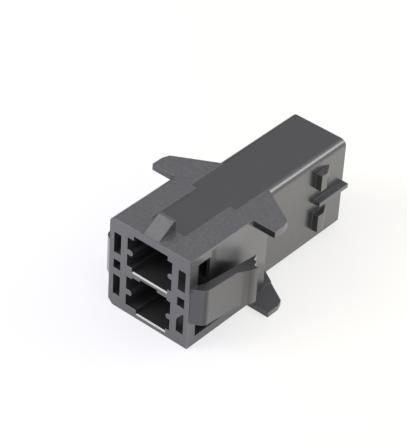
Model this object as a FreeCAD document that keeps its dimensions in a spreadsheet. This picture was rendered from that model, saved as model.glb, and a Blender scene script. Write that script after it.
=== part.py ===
import FreeCAD, Part
import math
import os
import re
import Sketcher

# Housing of a wire to board connector, moulded in one piece, in millimetres.
# X runs across, Y along the housing with the mating face at -Y, and Z up.
# The origin is under the middle of the housing, on the surface it rests on.
# Depths along Y are measured back from the mating face.

sizes = {
    # Outside of the front section
    "length": 42.8,
    "front_width": 17.0,
    "front_height": 17.85,
    "front_depth": 15.05,
    "collar_depth": 19.2,
    "top_round": 1.1,
    "key_chamfer": 0.95,
    # Rear block that holds the wires
    "rear_width": 11.74,
    "rear_top": 17.6,
    "rear_bottom": 0.6,
    "rear_round": 1.2,
    "rear_foot_round": 0.25,
    # Wings that meet the front of the panel
    "wing_span": 25.94,
    "wing_tip_depth": 2.35,
    "wing_corner_in": 0.5,
    "wing_corner_depth": 3.72,
    "wing_root_depth": 7.6,
    "wing_inner": 4.77,
    "wing_top": 17.72,
    "wing_thickness": 1.27,
    "low_wing_thickness": 1.0,
    "low_wing_ledge": 0.3,
    "low_wing_behind": 0.25,
    "wing_corner_round": 0.6,
    # Latch wedge and channel on the top
    "wedge_width": 3.2,
    "wedge_start": 0.2,
    "wedge_top_start": 3.65,
    "wedge_end": 4.25,
    "wedge_rise": 2.15,
    "channel_width": 7.0,
    "channel_floor": 17.42,
    "channel_floor_end": 12.3,
    # Pocket beside the root of each latch arm
    "frame_depth": 1.9,
    "pocket_end": 5.0,
    "pocket_low": 1.62,
    "pocket_high": 16.2,
    "relief_end": 8.9,
    "relief_high": 17.25,
    "relief_in": 0.3,
    # Narrow slots in the mating face
    "slot_inner": 6.05,
    "slot_outer": 7.53,
    "slot_depth": 17.4,
    "low_slot_bottom": 2.5,
    "low_slot_top": 6.5,
    "low_slot_point": 4.95,
    "low_slot_flat": 0.33,
    "mid_slot_bottom": 7.87,
    "mid_slot_top": 9.65,
    "high_slot_bottom": 11.1,
    "high_slot_top": 15.1,
    # Two mating cavities, one above the other
    "cavity_width": 9.4,
    "cavity_depth": 20.0,
    "cavity_pitch": 7.98,
    "low_floor": 0.98,
    "low_ceiling": 8.42,
    "high_floor": 9.09,
    "corner_key": 1.0,
    "wide_corner_key": 1.3,
    "ceiling_key_drop": 0.85,
    "floor_key_rise": 0.73,
    "low_key_width": 2.25,
    "ceiling_pad_width": 1.9,
    "ceiling_pad_drop": 0.45,
    "lip_drop": 0.27,
    "rib_low": 3.95,
    "rib_thickness": 1.05,
    "rib_round": 0.48,
    "rib_reach": 1.2,
    "short_rib_reach": 0.85,
    "rib_depth": 12.0,
    "shelf_rise": 0.2,
    # Wire entries in the rear face
    "entry_width": 8.8,
    "low_entry_step": 0.89,
    "high_entry_step": 0.505,
    "entry_height": 6.3,
    "entry_chamfer": 0.4,
    # Latch arms on both sides
    "arm_low": 5.1,
    "arm_high": 12.2,
    "arm_root_start": 0.35,
    "arm_bend_out": 2.1,
    "arm_bend_depth": 1.7,
    "arm_bend_round": 1.4,
    "arm_kink_out": 2.55,
    "arm_kink_depth": 8.57,
    "arm_crest_out": 3.8,
    "arm_crest_depth": 10.5,
    "arm_tip_out": 4.1,
    "arm_tip_depth": 11.95,
    "arm_first_notch_out": 3.3,
    "arm_step_out": 2.85,
    "arm_step_depth": 13.0,
    "arm_second_notch_out": 2.3,
    "arm_end_out": 1.75,
    "arm_end_depth": 14.4,
    "arm_gap": 1.1,
    "arm_root_gap_depth": 3.2,
    "arm_root_gap": 0.55,
    # Hooks and rib near the rear, on both sides
    "hook_before_rear": 7.8,
    "hook_reach": 1.25,
    "hook_flat": 1.5,
    "hook_slope": 2.1,
    "high_hook_low": 11.7,
    "high_hook_high": 14.9,
    "low_hook_low": 3.0,
    "low_hook_high": 6.5,
    "guide_rib_low": 8.4,
    "guide_rib_high": 9.25,
}

doc = FreeCAD.newDocument("connector_housing")
sheet = doc.addObject("Spreadsheet::Sheet", "Sizes")
for row, (word, value) in enumerate(sizes.items(), start=1):
    sheet.set(f"A{row}", word)
    sheet.set(f"B{row}", str(value))
    sheet.setAlias(f"B{row}", word)
doc.recompute()

body = doc.addObject("PartDesign::Body", "Housing")
body.Label = "connector_housing"
planes = {item.Role: item for item in body.Origin.OriginFeatures}

half = "front_width / 2"
front = "-length / 2"
# An edge this near its place, in millimetres, is taken to be at that place.
slack = 0.01


def bound(text):
    # Every word in a size is the name of a cell in the sheet.
    return re.sub(r"[a-z][a-z_]*", r"Sizes.\g<0>", text)


def back(depth):
    # A place along Y, given as a depth behind the mating face.
    return f"{front} + {depth}"


def closed(sketch, corners):
    # One closed outline, with both coordinates of each corner held by the sheet.
    first = sketch.GeometryCount
    count = len(corners)
    turn = 2 * math.pi / count
    start = [FreeCAD.Vector(math.cos(turn * n), math.sin(turn * n), 0) for n in range(count)]
    for n in range(count):
        sketch.addGeometry(Part.LineSegment(start[n], start[(n + 1) % count]))
    for n in range(count):
        following = first + (n + 1) % count
        sketch.addConstraint(Sketcher.Constraint("Coincident", first + n, 2, following, 1))
    for n, corner in enumerate(corners):
        for kind, place, text in zip(("DistanceX", "DistanceY"), start[n], corner):
            link = sketch.addConstraint(Sketcher.Constraint(kind, -1, 1, first + n, 1, place))
            sketch.setExpression(f"Constraints[{link}]", bound(text))


def outline(name, plane, place, *loops):
    # A sketch on an origin plane, moved along the plane's normal to its place.
    sketch = body.newObject("Sketcher::SketchObject", name)
    sketch.AttachmentSupport = [(planes[plane], "")]
    sketch.MapMode = "FlatFace"
    sketch.setExpression("AttachmentOffset.Base.z", bound(place))
    for corners in loops:
        closed(sketch, corners)
    return sketch


def rectangle(left, right, low, high):
    return [(left, low), (right, low), (right, high), (left, high)]


def solid(kind, name, sketch, length, reverse):
    feature = body.newObject(f"PartDesign::{kind}", name)
    feature.Profile = sketch
    feature.setExpression("Length", bound(length))
    feature.Reversed = reverse
    sketch.Visibility = False
    doc.recompute()
    return feature


def across(kind, name, depth, length, *loops):
    # Sections drawn on the XZ plane and run towards the rear.
    sketch = outline(f"{name}_section", "XZ_Plane", f"-({back(depth)})", *loops)
    return solid(kind, name, sketch, length, kind == "Pad")


def upward(kind, name, low, high, *loops):
    # Plans drawn on the XY plane and run upwards.
    sketch = outline(f"{name}_plan", "XY_Plane", low, *loops)
    return solid(kind, name, sketch, f"{high} - ({low})", kind == "Pocket")


def sideways(kind, name, left, right, *loops):
    # Side views drawn on the YZ plane and run towards +X.
    sketch = outline(f"{name}_side", "YZ_Plane", left, *loops)
    return solid(kind, name, sketch, f"{right} - ({left})", kind == "Pocket")


def mirror(name, features):
    twin = body.newObject("PartDesign::Mirrored", name)
    twin.Originals = features
    twin.MirrorPlane = (planes["YZ_Plane"], [""])
    body.Tip = twin
    doc.recompute()
    return twin


def dress(kind, name, size, wanted):
    # Rounds or bevels the edges of the body that the test accepts.
    base = body.Tip
    names = [f"Edge{n}" for n, edge in enumerate(base.Shape.Edges, start=1) if wanted(edge)]
    feature = body.newObject(f"PartDesign::{kind}", name)
    feature.Base = (base, names)
    feature.setExpression("Radius" if kind == "Fillet" else "Size", bound(size))
    doc.recompute()
    return feature


# Rear block, rounded along its long edges
rear = "rear_width / 2"
across("Pad", "rear_block", "front_depth", "length - front_depth",
       rectangle(f"-{rear}", rear, "rear_bottom", "rear_top"))


def runs_along(edge, direction):
    # True for a straight edge that lies along one axis.
    if edge.Curve.TypeId != "Part::GeomLine":
        return False
    return edge.tangentAt(edge.FirstParameter).cross(direction).Length < slack


along_y = FreeCAD.Vector(0, 1, 0)
upright = FreeCAD.Vector(0, 0, 1)
dress("Fillet", "rear_top_rounds", "rear_round",
      lambda edge: runs_along(edge, along_y) and edge.CenterOfMass.z > sheet.get("rear_top") - slack)
dress("Fillet", "rear_foot_rounds", "rear_foot_round",
      lambda edge: runs_along(edge, along_y) and edge.CenterOfMass.z < sheet.get("rear_bottom") + slack)

# Front section, with a bevelled edge and a rounded one on the -X side
across("Pad", "front_section", "0", "front_depth",
       [(f"-{half}", "key_chamfer"), (f"-{half} + key_chamfer", "0"), (half, "0"),
        (half, "front_height"), (f"-{half}", "front_height")])
dress("Fillet", "top_edge_round", "top_round",
      lambda edge: runs_along(edge, along_y) and edge.CenterOfMass.x < 0
      and edge.CenterOfMass.z > sheet.get("front_height") - slack)
across("Pad", "collar", "front_depth", "collar_depth - front_depth",
       [(f"-{half}", "key_chamfer"), (f"-{half} + key_chamfer", "0"), (half, "0"),
        (half, "wing_top"), ("wing_inner", "wing_top"), ("wing_inner", "rear_top"),
        ("-wing_inner", "rear_top"), ("-wing_inner", "wing_top"), (f"-{half}", "wing_top")])

# Wings, one pair level with the top and one pair level with the bottom
tip = "wing_span / 2"
corner = f"({tip} - wing_corner_in)"
slope = f"(wing_root_depth - wing_corner_depth) / ({corner} - {rear})"


def sloped_edge(out, behind):
    # The sloped rear edge of a wing, at one distance from the middle plane.
    return back(f"front_depth + {behind} + wing_corner_depth + ({corner} - {out}) * {slope}")


def wing_plan(behind):
    return [("wing_inner", back("front_depth")), (tip, back("front_depth")),
            (tip, back(f"front_depth + {behind} + wing_tip_depth")),
            (corner, back(f"front_depth + {behind} + wing_corner_depth")),
            ("wing_inner", sloped_edge("wing_inner", behind))]


high_wing = upward("Pad", "high_wing", "wing_top - wing_thickness", "wing_top", wing_plan("0"))
low_wing = upward("Pad", "low_wing", "0", "low_wing_thickness", wing_plan("low_wing_behind"))
low_ledge = upward("Pad", "low_ledge", "0", "low_wing_thickness + low_wing_ledge",
                   [("wing_inner", back("front_depth")), (half, back("front_depth")),
                    (half, sloped_edge(half, "low_wing_behind")),
                    ("wing_inner", sloped_edge("wing_inner", "low_wing_behind"))])

# Latch arm: a springy beam that bends back beside the wall, with a stepped barb
arm = upward("Pad", "latch_arm", "arm_low", "arm_high",
             [(f"{half} - arm_root_gap", back("arm_root_start")),
              (half, back("arm_root_start")),
              (f"{half} + arm_bend_out", back("arm_bend_depth")),
              (f"{half} + arm_kink_out", back("arm_kink_depth")),
              (f"{half} + arm_crest_out", back("arm_crest_depth")),
              (f"{half} + arm_tip_out", back("arm_tip_depth")),
              (f"{half} + arm_first_notch_out", back("arm_tip_depth")),
              (f"{half} + arm_step_out", back("arm_step_depth")),
              (f"{half} + arm_second_notch_out", back("arm_step_depth")),
              (f"{half} + arm_end_out", back("arm_end_depth")),
              (f"{half} + arm_gap", back("arm_kink_depth")),
              (f"{half} + arm_root_gap", back("arm_root_gap_depth")),
              (half, back("frame_depth")),
              (f"{half} - arm_root_gap", back("frame_depth"))])

# Hooks and a guide rib near the rear, which hold the cover behind the panel
hook_start = "length - hook_before_rear"
hook_plan = [(f"{rear} - hook_reach", back(hook_start)),
             (f"{rear} + hook_reach", back(hook_start)),
             (f"{rear} + hook_reach", back(f"{hook_start} + hook_flat")),
             (rear, back(f"{hook_start} + hook_flat + hook_slope")),
             (f"{rear} - hook_reach", back(f"{hook_start} + hook_flat + hook_slope"))]
high_hook = upward("Pad", "high_hook", "high_hook_low", "high_hook_high", hook_plan)
low_hook = upward("Pad", "low_hook", "low_hook_low", "low_hook_high", hook_plan)
guide_rib = across("Pad", "guide_rib", hook_start, "hook_before_rear",
                   rectangle(f"{rear} - hook_reach", f"{rear} + hook_reach",
                             "guide_rib_low", "guide_rib_high"))
mirror("other_side", [high_wing, low_wing, low_ledge, arm, high_hook, low_hook, guide_rib])


def stands_at(out, *depths):
    # Picks the upright edges at one distance from the middle plane and at these depths.
    def wanted(edge):
        along = edge.CenterOfMass.y + sheet.get("length") / 2
        return (runs_along(edge, upright) and abs(abs(edge.CenterOfMass.x) - out) < slack
                and min(abs(along - depth) for depth in depths) < slack)
    return wanted


dress("Fillet", "arm_bends", "arm_bend_round",
      stands_at(sheet.get("front_width") / 2 + sheet.get("arm_bend_out"),
                sheet.get("arm_bend_depth")))
wing_corner = sheet.get("front_depth") + sheet.get("wing_corner_depth")
dress("Fillet", "wing_corners", "wing_corner_round",
      stands_at(sheet.get("wing_span") / 2 - sheet.get("wing_corner_in"),
                wing_corner, wing_corner + sheet.get("low_wing_behind")))

# Shallow channel in the top, with a gentle ramp up to the rear block's level
channel = "channel_width / 2"
sideways("Pocket", "channel", f"-{channel}", channel,
         [(back("wedge_end"), "front_height + wedge_rise"), (back("wedge_end"), "channel_floor"),
          (back("channel_floor_end"), "channel_floor"), (back("front_depth"), "rear_top"),
          (back("front_depth"), "front_height + wedge_rise")])

# Latch wedge on the front edge of the top
sideways("Pad", "wedge", "-wedge_width / 2", "wedge_width / 2",
         [(back("wedge_start"), "channel_floor"), (back("wedge_end"), "channel_floor"),
          (back("wedge_end"), "front_height + wedge_rise"),
          (back("wedge_top_start"), "front_height + wedge_rise"),
          (back("wedge_start"), "front_height")])

# Pockets that free the roots of the latch arms
below_arm = upward("Pocket", "pocket_below", "pocket_low", "arm_low",
                   rectangle("slot_inner", f"{half} + arm_gap",
                             back("frame_depth"), back("pocket_end")))
above_arm = upward("Pocket", "pocket_above", "arm_high", "pocket_high",
                   rectangle("slot_inner", f"{half} + arm_gap",
                             back("frame_depth"), back("pocket_end")))
behind_arm = upward("Pocket", "pocket_behind", "arm_low", "arm_high",
                    rectangle("slot_inner", half, back("frame_depth"), back("pocket_end")))
relief = upward("Pocket", "relief", "pocket_low", "relief_high",
                [(f"{half} - relief_in", back("pocket_end")), (half, back("pocket_end")),
                 (half, back("relief_end"))])
mirror("other_pockets", [below_arm, above_arm, behind_arm, relief])

# Narrow slots that core out the walls beside the cavities
high_slot = rectangle("slot_inner", "slot_outer", "high_slot_bottom", "high_slot_top")
mid_slot = rectangle("slot_inner", "slot_outer", "mid_slot_bottom", "mid_slot_top")
low_slot = rectangle("-slot_outer", "-slot_inner", "low_slot_bottom", "low_slot_top")
pointed_slot = [("slot_inner", "low_slot_bottom"), ("slot_outer", "low_slot_bottom"),
                ("slot_outer", "low_slot_top"), ("slot_outer - low_slot_flat", "low_slot_top"),
                ("slot_inner", "low_slot_point")]
slots = across("Pocket", "paired_slots", "0", "slot_depth", high_slot, mid_slot)
mirror("other_slots", [slots])
across("Pocket", "low_slots", "0", "slot_depth", low_slot, pointed_slot)

# Mating cavities: the keys in their corners differ from side to side
side = "cavity_width / 2"
across("Pocket", "high_cavity", "0", "cavity_depth",
       [(f"-{side}", "high_floor + floor_key_rise"),
        (f"-{side} + wide_corner_key - shelf_rise", "high_floor + floor_key_rise"),
        (f"-{side} + wide_corner_key - shelf_rise", "high_floor"),
        (f"{side} - corner_key + shelf_rise", "high_floor"),
        (f"{side} - corner_key + shelf_rise", "high_floor + floor_key_rise"),
        (side, "high_floor + floor_key_rise"),
        (side, "low_ceiling + cavity_pitch - ceiling_key_drop"),
        (f"{side} - corner_key", "low_ceiling + cavity_pitch - ceiling_key_drop"),
        (f"{side} - corner_key", "low_ceiling + cavity_pitch"),
        (f"-{side} + wide_corner_key", "low_ceiling + cavity_pitch"),
        (f"-{side} + wide_corner_key", "low_ceiling + cavity_pitch - ceiling_key_drop"),
        (f"-{side}", "low_ceiling + cavity_pitch - ceiling_key_drop")])
across("Pocket", "low_cavity", "0", "cavity_depth",
       [(f"-{side}", "low_floor + floor_key_rise"),
        (f"-{side} + low_key_width", "low_floor + floor_key_rise"),
        (f"-{side} + low_key_width", "low_floor"),
        (f"{side} - corner_key + shelf_rise", "low_floor"),
        (f"{side} - corner_key + shelf_rise", "low_floor + floor_key_rise"),
        (side, "low_floor + floor_key_rise"),
        (side, "low_ceiling - ceiling_key_drop"),
        (f"{side} - corner_key + shelf_rise", "low_ceiling - ceiling_key_drop"),
        (f"{side} - corner_key + shelf_rise", "low_ceiling - ceiling_pad_drop"),
        (f"{side} - corner_key - ceiling_pad_width", "low_ceiling - ceiling_pad_drop"),
        (f"{side} - corner_key - ceiling_pad_width", "low_ceiling"),
        (f"-{side} + corner_key + ceiling_pad_width", "low_ceiling"),
        (f"-{side} + corner_key + ceiling_pad_width", "low_ceiling - ceiling_pad_drop"),
        (f"-{side} + corner_key + shelf_rise", "low_ceiling - ceiling_pad_drop"),
        (f"-{side} + corner_key + shelf_rise", "low_ceiling - ceiling_key_drop"),
        (f"-{side}", "low_ceiling - ceiling_key_drop")])

# Bevelled lips that lead a mating plug onto the cavity floors
for name, left, floor in (("high_lip", "wide_corner_key - shelf_rise", "high_floor"),
                          ("low_lip", "low_key_width", "low_floor")):
    sideways("Pocket", name, f"-{side} + {left}", f"{side} - corner_key + shelf_rise",
             [(front, f"{floor} - lip_drop"), (back("lip_drop"), floor), (front, floor)])

# Guide ribs on the cavity walls, longer reach at -X
for name, low in (("low", "rib_low"), ("high", "rib_low + cavity_pitch + shelf_rise")):
    across("Pad", f"{name}_ribs", "0", "rib_depth",
           rectangle(f"-{side} - shelf_rise", f"-{side} + rib_reach", low, f"{low} + rib_thickness"),
           rectangle(f"{side} - short_rib_reach", f"{side} + shelf_rise",
                     low, f"{low} + rib_thickness"))
rib_edges = [-sheet.get("cavity_width") / 2 + sheet.get("rib_reach"),
             sheet.get("cavity_width") / 2 - sheet.get("short_rib_reach")]
dress("Fillet", "rib_rounds", "rib_round",
      lambda edge: runs_along(edge, along_y)
      and abs(edge.Length - sheet.get("rib_depth")) < slack
      and min(abs(edge.CenterOfMass.x - place) for place in rib_edges) < slack)

# Wire entries, open through the rear face into the cavities
entry = "entry_width / 2"
low_entry = "low_floor + low_entry_step"
high_entry = "high_floor + high_entry_step"
across("Pocket", "entries", "cavity_depth", "length - cavity_depth",
       rectangle(f"-{entry}", entry, low_entry, f"{low_entry} + entry_height"),
       rectangle(f"-{entry}", entry, high_entry, f"{high_entry} + entry_height"))
dress("Chamfer", "entry_bevels", "entry_chamfer",
      lambda edge: edge.CenterOfMass.y > sheet.get("length") / 2 - slack
      and abs(edge.CenterOfMass.x) < sheet.get("entry_width") / 2 + slack
      and sheet.get("rear_bottom") + slack < edge.CenterOfMass.z < sheet.get("rear_top") - slack)

doc.recompute()
for item in doc.Objects:
    if "Invalid" in item.State or "Error" in item.State:
        raise RuntimeError(f"{item.Name} did not build: {item.State}")
shape = body.Shape
if shape.isNull() or not shape.isValid() or len(shape.Solids) != 1:
    raise RuntimeError("the housing is not one valid solid")

os.makedirs("parts", exist_ok=True)
shape.exportStep(f"parts/{body.Label}.step")
print(f"{body.Label}: {shape.BoundBox}, {shape.Volume:.0f} cubic millimetres")
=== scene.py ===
import math

import bpy
from mathutils import Matrix, Vector


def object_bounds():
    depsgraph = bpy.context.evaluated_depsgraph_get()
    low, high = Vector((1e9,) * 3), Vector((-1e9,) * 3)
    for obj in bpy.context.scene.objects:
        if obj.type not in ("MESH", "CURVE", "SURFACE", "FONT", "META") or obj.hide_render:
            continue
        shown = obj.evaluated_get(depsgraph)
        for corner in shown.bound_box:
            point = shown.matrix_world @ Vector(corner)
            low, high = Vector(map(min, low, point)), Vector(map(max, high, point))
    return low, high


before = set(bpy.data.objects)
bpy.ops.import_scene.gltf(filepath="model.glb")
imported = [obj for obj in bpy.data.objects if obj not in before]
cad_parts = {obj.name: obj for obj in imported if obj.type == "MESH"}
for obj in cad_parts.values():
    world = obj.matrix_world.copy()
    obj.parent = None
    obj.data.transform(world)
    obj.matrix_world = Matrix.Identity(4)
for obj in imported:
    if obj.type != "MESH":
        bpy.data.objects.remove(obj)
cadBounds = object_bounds()
scene = bpy.context.scene
scene.view_settings.view_transform = "Standard"
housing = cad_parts["connector_housing"]


def addNode(tree, kind, sockets=None, **settings):
    # sockets holds a value or another node's output for each named input
    node = tree.nodes.new(kind)
    for name, value in settings.items():
        setattr(node, name, value)
    for name, value in (sockets or {}).items():
        if isinstance(value, bpy.types.NodeSocket):
            tree.links.new(value, node.inputs[name])
        else:
            node.inputs[name].default_value = value
    return node


def addMaths(tree, operation, *values):
    node = tree.nodes.new("ShaderNodeMath")
    node.operation = operation
    for socket, value in zip(node.inputs, values):
        if isinstance(value, bpy.types.NodeSocket):
            tree.links.new(value, socket)
        else:
            socket.default_value = value
    return node.outputs[0]


def addBlend(tree, share, low, high):
    # low where share is 0, high where it is 1
    node = addNode(tree, "ShaderNodeMapRange", {"Value": share, "To Min": low, "To Max": high})
    return node.outputs[0]


def addStep(tree, value, start, end):
    # a soft step from 0 at start to 1 at end
    node = addNode(tree, "ShaderNodeMapRange", {"Value": value, "From Min": start, "From Max": end})
    node.interpolation_type = "SMOOTHSTEP"
    return node.outputs[0]


def addColourBlend(tree, share, low, high):
    node = addNode(tree, "ShaderNodeMix", {0: share, 6: low, 7: high}, data_type="RGBA")
    return node.outputs[2]


def addNoise(tree, place, scale, detail):
    node = addNode(tree, "ShaderNodeTexNoise", {"Vector": place, "Scale": scale, "Detail": detail})
    return node.outputs[0]


def addAlong(tree, place, direction):
    # how far place lies along a direction
    node = addNode(tree, "ShaderNodeVectorMath", {0: place, 1: direction}, operation="DOT_PRODUCT")
    return node.outputs["Value"]


# camera
cameraView = {
    "place": (0.16830, -0.22036, 0.22615),     # metres
    "azimuth": 38.44,       # degrees round from the mating face
    "elevation": 38.11,     # degrees above the floor
    "roll": 3.57,           # degrees
    "lens": 173.18,         # millimetres
}


def makeCamera(settings):
    turn = math.radians(settings["azimuth"])
    lift = math.radians(settings["elevation"])
    back = Vector((math.sin(turn) * math.cos(lift), -math.cos(turn) * math.cos(lift), math.sin(lift)))
    level = Vector((math.cos(turn), math.sin(turn), 0.0))
    upright = back.cross(level)
    roll = math.radians(settings["roll"])
    right = level * math.cos(roll) + upright * math.sin(roll)
    up = upright * math.cos(roll) - level * math.sin(roll)
    data = bpy.data.cameras.new("camera")
    data.lens = settings["lens"]
    camera = bpy.data.objects.new("camera", data)
    scene.collection.objects.link(camera)
    axes = Matrix((right, up, back)).transposed().to_4x4()
    camera.matrix_world = Matrix.Translation(settings["place"]) @ axes
    scene.camera = camera


makeCamera(cameraView)
print("camera set")

# studio
studio = {
    "floorSize": 1.6,
    "paperInCoolLight": (0.88, 0.88, 0.96, 1.0),   # the floor's paper with a painted cool light tint, in front and on the left and with a painted warm light tint, behind on the right
    "paperInWarmLight": (0.92, 0.91, 0.80, 1.0),   # and behind on the right
    "warmSide": (0.64, 0.77, 0.0),          # the way from cool to warm
    "warmReach": (-0.014, 0.006),           # where along it the change starts and ends
    "floorGlow": 0.66,          # share of plain white that the camera sees in the floor
    "floorGlossGlow": 0.35,     # the same for reflections
    "reflectedShadeSide": (0.8, -0.6, 0.0),    # the way in which reflections show the floor with a painted shade
    "reflectedShadeReach": (0.0210, 0.0245),
    "reflectedShadeLevel": 0.05,
    "skyTilt": (0.55, -0.35, 0.75),     # the brightest side of the sky
    "skyTint": (1.0, 0.985, 1.05),
    # place from the darkest side, 0, to the brightest, 1, and level there
    "skyRamp": ((0.0, 0.16), (0.2, 0.2), (0.49, 0.42), (0.585, 0.72), (0.69, 0.95), (1.0, 1.1)),
    "lamps": (
        # name, direction from the housing, distance, size, watts
        ("keySoftbox", (-0.49, -0.62, 0.62), 0.45, 0.24, 0.81),
        ("backSoftbox", (0.50, 0.62, 0.60), 0.45, 0.20, 0.33),
    ),
}


def makeFloor(settings):
    half = settings["floorSize"] / 2
    corners = [(-half, -half, 0), (half, -half, 0), (half, half, 0), (-half, half, 0)]
    mesh = bpy.data.meshes.new("floor")
    mesh.from_pydata(corners, [], [(0, 1, 2, 3)])
    floor = bpy.data.objects.new("floor", mesh)
    scene.collection.objects.link(floor)
    material = bpy.data.materials.new("floorPaper")
    material.use_nodes = True
    tree = material.node_tree
    tree.nodes.clear()
    place = addNode(tree, "ShaderNodeTexCoord").outputs["Object"]
    # painted light: the paper's tint turns from cool to warm as if under lamps of two colours
    warm = addStep(tree, addAlong(tree, place, settings["warmSide"]), *settings["warmReach"])
    shade = addColourBlend(tree, warm, settings["paperInCoolLight"], settings["paperInWarmLight"])
    paper = addNode(tree, "ShaderNodeBsdfDiffuse", {"Color": shade})
    white = addNode(tree, "ShaderNodeEmission", {"Color": (1, 1, 1, 1), "Strength": 1.0})
    rays = addNode(tree, "ShaderNodeLightPath")
    seen = addMaths(tree, "MULTIPLY", rays.outputs["Is Camera Ray"], settings["floorGlow"])
    mirrored = addMaths(tree, "MULTIPLY", rays.outputs["Is Glossy Ray"], settings["floorGlossGlow"])
    share = addMaths(tree, "MAXIMUM", seen, mirrored)
    # painted shade: reflections show the floor's white glow dimmer towards the front right
    reflectedShade = addStep(tree, addAlong(tree, place, settings["reflectedShadeSide"]), *settings["reflectedShadeReach"])
    reflectedShade = addMaths(tree, "MULTIPLY", reflectedShade, rays.outputs["Is Glossy Ray"])
    tree.links.new(addBlend(tree, reflectedShade, 1.0, settings["reflectedShadeLevel"]), white.inputs["Strength"])
    mix = addNode(tree, "ShaderNodeMixShader", {0: share, 1: paper.outputs[0], 2: white.outputs[0]})
    addNode(tree, "ShaderNodeOutputMaterial", {"Surface": mix.outputs[0]})
    mesh.materials.append(material)


def makeSky(settings):
    world = bpy.data.worlds.new("studioSky")
    scene.world = world
    world.use_nodes = True
    tree = world.node_tree
    tree.nodes.clear()
    place = addNode(tree, "ShaderNodeTexCoord")
    tilt = Vector(settings["skyTilt"]).normalized()
    facing = addAlong(tree, place.outputs["Generated"], tilt)
    share = addMaths(tree, "MULTIPLY_ADD", facing, 0.5, 0.5)    # from -1 to 1 into 0 to 1
    ramp = addNode(tree, "ShaderNodeValToRGB", {0: share})
    stops = ramp.color_ramp.elements
    while len(stops) > 1:
        stops.remove(stops[-1])
    for number, (position, level) in enumerate(settings["skyRamp"]):
        stop = stops[0] if number == 0 else stops.new(position)
        stop.position = position
        stop.color = (*(level * tint for tint in settings["skyTint"]), 1)
    light = addNode(tree, "ShaderNodeBackground", {"Color": ramp.outputs[0], "Strength": 1.0})
    addNode(tree, "ShaderNodeOutputWorld", {"Surface": light.outputs[0]})


def makeLamps(settings):
    middle = (cadBounds[0] + cadBounds[1]) / 2
    for name, direction, distance, size, watts in settings["lamps"]:
        data = bpy.data.lights.new(name, "AREA")
        data.shape = "SQUARE"
        data.size = size
        data.energy = watts
        lamp = bpy.data.objects.new(name, data)
        scene.collection.objects.link(lamp)
        away = Vector(direction).normalized()
        lamp.location = middle + away * distance
        lamp.rotation_mode = "QUATERNION"
        lamp.rotation_quaternion = away.to_track_quat("Z", "Y")


makeFloor(studio)
makeSky(studio)
makeLamps(studio)
print("studio lit")

# the moulding's edges
edges = {
    "weld": 0.000002,       # metres
    "flat": 2.0,            # degrees within which faces count as one
    "width": 0.00006,
    "sharp": 30.0,          # degrees from which an edge is rounded
    "segments": 3,
    "largeFaces": 50,       # how far large faces rule the shading at edges
}


def makeSmoothFaces():
    group = bpy.data.node_groups.new("smoothFaces", "GeometryNodeTree")
    for way in ("INPUT", "OUTPUT"):
        group.interface.new_socket("Geometry", in_out=way, socket_type="NodeSocketGeometry")
    start = group.nodes.new("NodeGroupInput")
    end = group.nodes.new("NodeGroupOutput")
    smooth = group.nodes.new("GeometryNodeSetShadeSmooth")
    group.links.new(start.outputs[0], smooth.inputs["Geometry"])
    group.links.new(smooth.outputs[0], end.inputs[0])
    return group


def roundEdges(piece, settings):
    weld = piece.modifiers.new("weld", "WELD")
    weld.merge_threshold = settings["weld"]
    flat = piece.modifiers.new("flatFaces", "DECIMATE")
    flat.decimate_type = "DISSOLVE"
    flat.angle_limit = math.radians(settings["flat"])
    bevel = piece.modifiers.new("edgeRounds", "BEVEL")
    bevel.width = settings["width"]
    bevel.segments = settings["segments"]
    bevel.limit_method = "ANGLE"
    bevel.angle_limit = math.radians(settings["sharp"])
    bevel.use_clamp_overlap = False
    smooth = piece.modifiers.new("smoothFaces", "NODES")
    smooth.node_group = makeSmoothFaces()
    normals = piece.modifiers.new("faceNormals", "WEIGHTED_NORMAL")
    normals.mode = "FACE_AREA"
    normals.weight = settings["largeFaces"]


roundEdges(housing, edges)
print("edges rounded")
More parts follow.
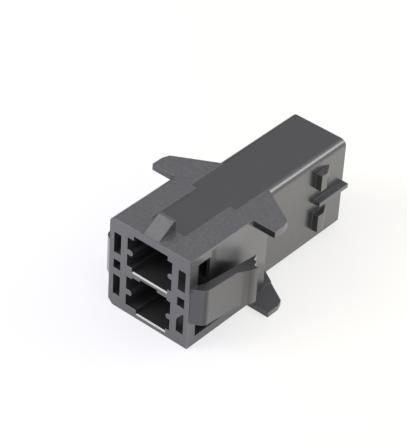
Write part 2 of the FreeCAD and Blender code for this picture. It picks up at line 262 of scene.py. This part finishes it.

# moulded plastic, spark finished at the front and on the wings, smoother behind, with painted shade and
# sheen in places
plastic = {
    "black": (0.0080, 0.0078, 0.0086, 1.0),
    "hazeAndSheen": (0.1000, 0.0990, 0.1035, 1.0),  # where the finish scatters most light, also the colour of painted sheen and highlights
    "topHazeAndSheen": 0.37,            # share of it on the tops, partly a painted sheen on faces that look up and a painted highlight along the edges
    "edgeHighlight": 0.5,            # and along the edges
    "edgeReach": 0.0002,        # how far in from an edge the painted highlight is looked for
    "edgeStep": (0.08, 0.4),    # shares of open edge at which the painted highlight starts and is full
    "edgeSamples": 8,
    "paintedShadeBlack": (0.0015, 0.0015, 0.0016, 1.0),   # painted shade: the colour where the plastic is shown darker
    "speckle": 0.35,            # up and down change of the haze on the tops
    "speckleStep": (0.3, 0.7),
    "speckleNoise": (1900.0, 3.0),  # scale per metre, detail
    "ior": 1.6,
    "specular": 1.0,
    "coatRoughness": 0.26,
    "smoothRoughness": 0.26,
    "sparkRoughness": 0.38,
    "hazeRoughness": 0.12,      # added where the haze is
    "dullRoughness": 0.54,
    "coat": 0.9,
    "dullCoat": 0.2,
    "roughnessChange": 0.05,    # up and down, in patches
    "patchNoise": (300.0, 3.0),
    "grainNoise": (4200.0, 2.0),
    "smoothGrain": 0.000002,    # depths in metres
    "sparkGrain": 0.000006,
    "waveNoise": (160.0, 1.0),
    "waveDepth": 0.00001,
    # places in metres, with y and z as in the housing and out from its middle
    "sparkEnd": -0.0022,        # the back of the collar
    "wingEnd": 0.004,           # behind the wings
    "wingIn": 0.0059,           # outside the rear block
    "innerOut": 0.0079,         # the cavities and slots lie within these
    "innerLow": 0.0006,
    "innerHigh": 0.0165,
    "innerStart": 0.00035,      # behind the mating face, where the bright lips end
    "wedgeOut": 0.0035,         # beyond the sides of the wedge
    "paintedShadeOut": 0.0058,        # beyond this, faces that look forward take a painted shade
    "topLow": 0.01766,          # the strips, wing tops and wedge lie above this
    "wallOut": (0.0083, 0.0088),    # the side walls of the front section
    "armOut": 0.0096,           # the latch arms beyond their roots
    "armHigh": (0.0045, 0.0130),
    "armSheen": 0.42,            # painted sheen on their flats
    "flareShade": 0.8,          # how much darker the painted shade makes their flares
    "armTop": 0.0115,           # the wall beside the arm's root takes a painted shade above this
    "wallSlope": (0.0, 0.65, 1.0),  # above the arm the wall changes along this direction, from a painted shade beside the arm's root to a painted sheen behind it
    "shadeEnd": (0.0050, 0.0040),   # from darker beside the arm's root
    "sheenStart": (0.0042, 0.0056),  # to paler behind it
    "placeBlur": 0.00003,       # how softly such places end
    "lipBlur": 0.0001,
    # how far a face looks up or back, from -1 to 1
    "upwardFrom": 0.5,
    "upwardBlur": 0.1,
    "rampBelow": 0.93,          # the wedge's ramp and sides look up less than this
    "forwardBelow": -0.93,
    "flareFaces": (-0.66, -0.40),
    "sideFaces": (-0.3, 0.3),
    "faceBlur": 0.03,
}


def addWithin(tree, value, low, high, blur):
    # 1 between low and high, 0 outside them; either may be missing
    mask = None
    for edge, sign in ((low, 1), (high, -1)):
        if edge is not None:
            step = addStep(tree, value, edge - sign * blur, edge + sign * blur)
            mask = step if mask is None else addMaths(tree, "MULTIPLY", mask, step)
    return mask


def addFinishAndPaintedLightMasks(tree, place, settings):
    # five masks, of the finish and of painted light:
    # spark, the coarser front section and wings
    # tops, haze on the strips, wing tops and wedge, partly a painted sheen on faces that look up
    # walls, painted sheen on part of the side walls and on the arms' flats
    # dull, the cavities, low ledges and the wedge's ramp and sides
    # and painted shade, darker: faces that look forward, the arms' flares, the walls beside their roots
    def within(value, low, high, blur="placeBlur"):
        return addWithin(tree, value, low, high, settings[blur])

    def allOf(*masks):
        mask = masks[0]
        for other in masks[1:]:
            mask = addMaths(tree, "MULTIPLY", mask, other)
        return mask

    def anyOf(*masks):
        mask = masks[-1]
        for other in masks[-2::-1]:
            mask = addMaths(tree, "MAXIMUM", other, mask)
        return mask

    def without(mask):
        return addMaths(tree, "SUBTRACT", 1.0, mask)

    axes = addNode(tree, "ShaderNodeSeparateXYZ", {0: place}).outputs
    out = addMaths(tree, "ABSOLUTE", axes["X"])
    facing = addNode(tree, "ShaderNodeNewGeometry").outputs["Normal"]
    facing = addNode(tree, "ShaderNodeSeparateXYZ", {0: facing}).outputs
    slant = addAlong(tree, place, settings["wallSlope"])
    upward = within(facing["Z"], settings["upwardFrom"], None, "upwardBlur")
    forward = within(facing["Y"], None, settings["forwardBelow"], "faceBlur")
    front = within(axes["Y"], None, settings["sparkEnd"])
    behindFace = within(axes["Y"], cadBounds[0].y + settings["innerStart"], None, "lipBlur")
    outside = within(out, settings["wingIn"], None)
    raised = within(axes["Z"], settings["topLow"], None)
    sideWall = allOf(within(out, *settings["wallOut"]), without(upward))

    wings = allOf(within(axes["Y"], None, settings["wingEnd"]), outside,
                  without(allOf(forward, without(front))))
    spark = allOf(anyOf(front, wings), without(allOf(front, without(raised), upward)))

    inner = allOf(front, within(out, None, settings["innerOut"]),
                  within(axes["Z"], settings["innerLow"], settings["innerHigh"]), behindFace)
    ledges = allOf(outside, without(raised), upward)
    wedge = allOf(within(out, None, settings["wedgeOut"]), front,
                  within(facing["Z"], None, settings["rampBelow"], "faceBlur"),
                  without(forward), within(axes["Z"], settings["innerHigh"], None))
    dull = anyOf(inner, ledges, wedge)

    arm = allOf(front, within(out, settings["armOut"], None), without(upward),
                within(axes["Z"], *settings["armHigh"]))
    # painted shade on faces that look forward and on the arms' flares
    lookForward = allOf(forward, within(out, settings["paintedShadeOut"], None), behindFace)
    flare = allOf(arm, within(facing["Y"], *settings["flareFaces"], "faceBlur"), settings["flareShade"])
    # painted shade: the wall beside the arm's root is darker
    besideRoot = allOf(sideWall, within(axes["Z"], settings["armTop"], None),
                       addStep(tree, slant, *settings["shadeEnd"]))
    paintedShade = anyOf(lookForward, flare, besideRoot)

    # haze on the tops, partly a painted sheen that makes faces looking up paler
    tops = allOf(raised, upward, settings["topHazeAndSheen"])
    # painted sheen: the side wall behind the arm's root and the arms' flats are paler
    behindRoot = allOf(sideWall, front, addStep(tree, slant, *settings["sheenStart"]))
    armFlat = allOf(arm, settings["armSheen"], within(facing["Y"], *settings["sideFaces"], "faceBlur"))
    walls = anyOf(behindRoot, armFlat)
    return allOf(spark, without(dull)), tops, walls, dull, paintedShade


def addEdgeHighlightMask(tree, settings):
    # 1 along the outer edges, where a painted highlight makes the plastic a little paler
    depth = addNode(tree, "ShaderNodeAmbientOcclusion", {"Distance": settings["edgeReach"]},
                    samples=settings["edgeSamples"], inside=True, only_local=True)
    return addStep(tree, addMaths(tree, "SUBTRACT", 1.0, depth.outputs["AO"]), *settings["edgeStep"])


def makePlastic(settings):
    material = bpy.data.materials.new("mouldedBlackPlastic")
    material.use_nodes = True
    tree = material.node_tree
    tree.nodes.clear()
    place = addNode(tree, "ShaderNodeTexCoord").outputs["Object"]
    spark, tops, walls, dull, paintedShade = addFinishAndPaintedLightMasks(tree, place, settings)
    edgeHighlightShare = addEdgeHighlightMask(tree, settings)
    speckle = addNoise(tree, place, *settings["speckleNoise"])
    speckle = addBlend(tree, addStep(tree, speckle, *settings["speckleStep"]),
                       1.0 - settings["speckle"], 1.0 + settings["speckle"])
    # the paler colour: haze on the tops, with painted sheen and painted edge highlights
    hazeAndSheen = addMaths(tree, "MULTIPLY", tops, speckle)
    hazeAndSheen = addMaths(tree, "MAXIMUM", hazeAndSheen, walls)
    # painted highlight along the outer edges
    hazeAndSheen = addMaths(tree, "MAXIMUM", hazeAndSheen, addMaths(tree, "MULTIPLY", edgeHighlightShare, settings["edgeHighlight"]))
    colour = addColourBlend(tree, hazeAndSheen, settings["black"], settings["hazeAndSheen"])
    # painted shade: darker colour on faces that look forward, the arms' flares and the walls beside
    # their roots
    colour = addColourBlend(tree, paintedShade, colour, settings["paintedShadeBlack"])

    patches = addNoise(tree, place, *settings["patchNoise"])
    roughness = addBlend(tree, spark, settings["smoothRoughness"], settings["sparkRoughness"])
    roughness = addBlend(tree, dull, roughness, settings["dullRoughness"])
    for share, low, high in ((patches, -settings["roughnessChange"], settings["roughnessChange"]),
                             (hazeAndSheen, 0.0, settings["hazeRoughness"])):
        roughness = addMaths(tree, "ADD", roughness, addBlend(tree, share, low, high))

    grain = addNoise(tree, place, *settings["grainNoise"])
    grainDepth = addBlend(tree, spark, settings["smoothGrain"], settings["sparkGrain"])
    waves = addNoise(tree, place, *settings["waveNoise"])
    height = addMaths(tree, "ADD", addMaths(tree, "MULTIPLY", grain, grainDepth),
                      addMaths(tree, "MULTIPLY", waves, settings["waveDepth"]))
    bump = addNode(tree, "ShaderNodeBump", {"Height": height, "Distance": 1.0})    # height in metres

    surface = addNode(tree, "ShaderNodeBsdfPrincipled", {
        "Base Color": colour,
        "Roughness": roughness,
        "IOR": settings["ior"],
        "Specular IOR Level": settings["specular"],
        "Coat Weight": addBlend(tree, addMaths(tree, "MAXIMUM", dull, paintedShade),
                                settings["coat"], settings["dullCoat"]),
        "Coat Roughness": settings["coatRoughness"],
        "Normal": bump.outputs[0],
    })
    addNode(tree, "ShaderNodeOutputMaterial", {"Surface": surface.outputs[0]})
    return material


housing.data.materials.clear()
housing.data.materials.append(makePlastic(plastic))
print("plastic made")
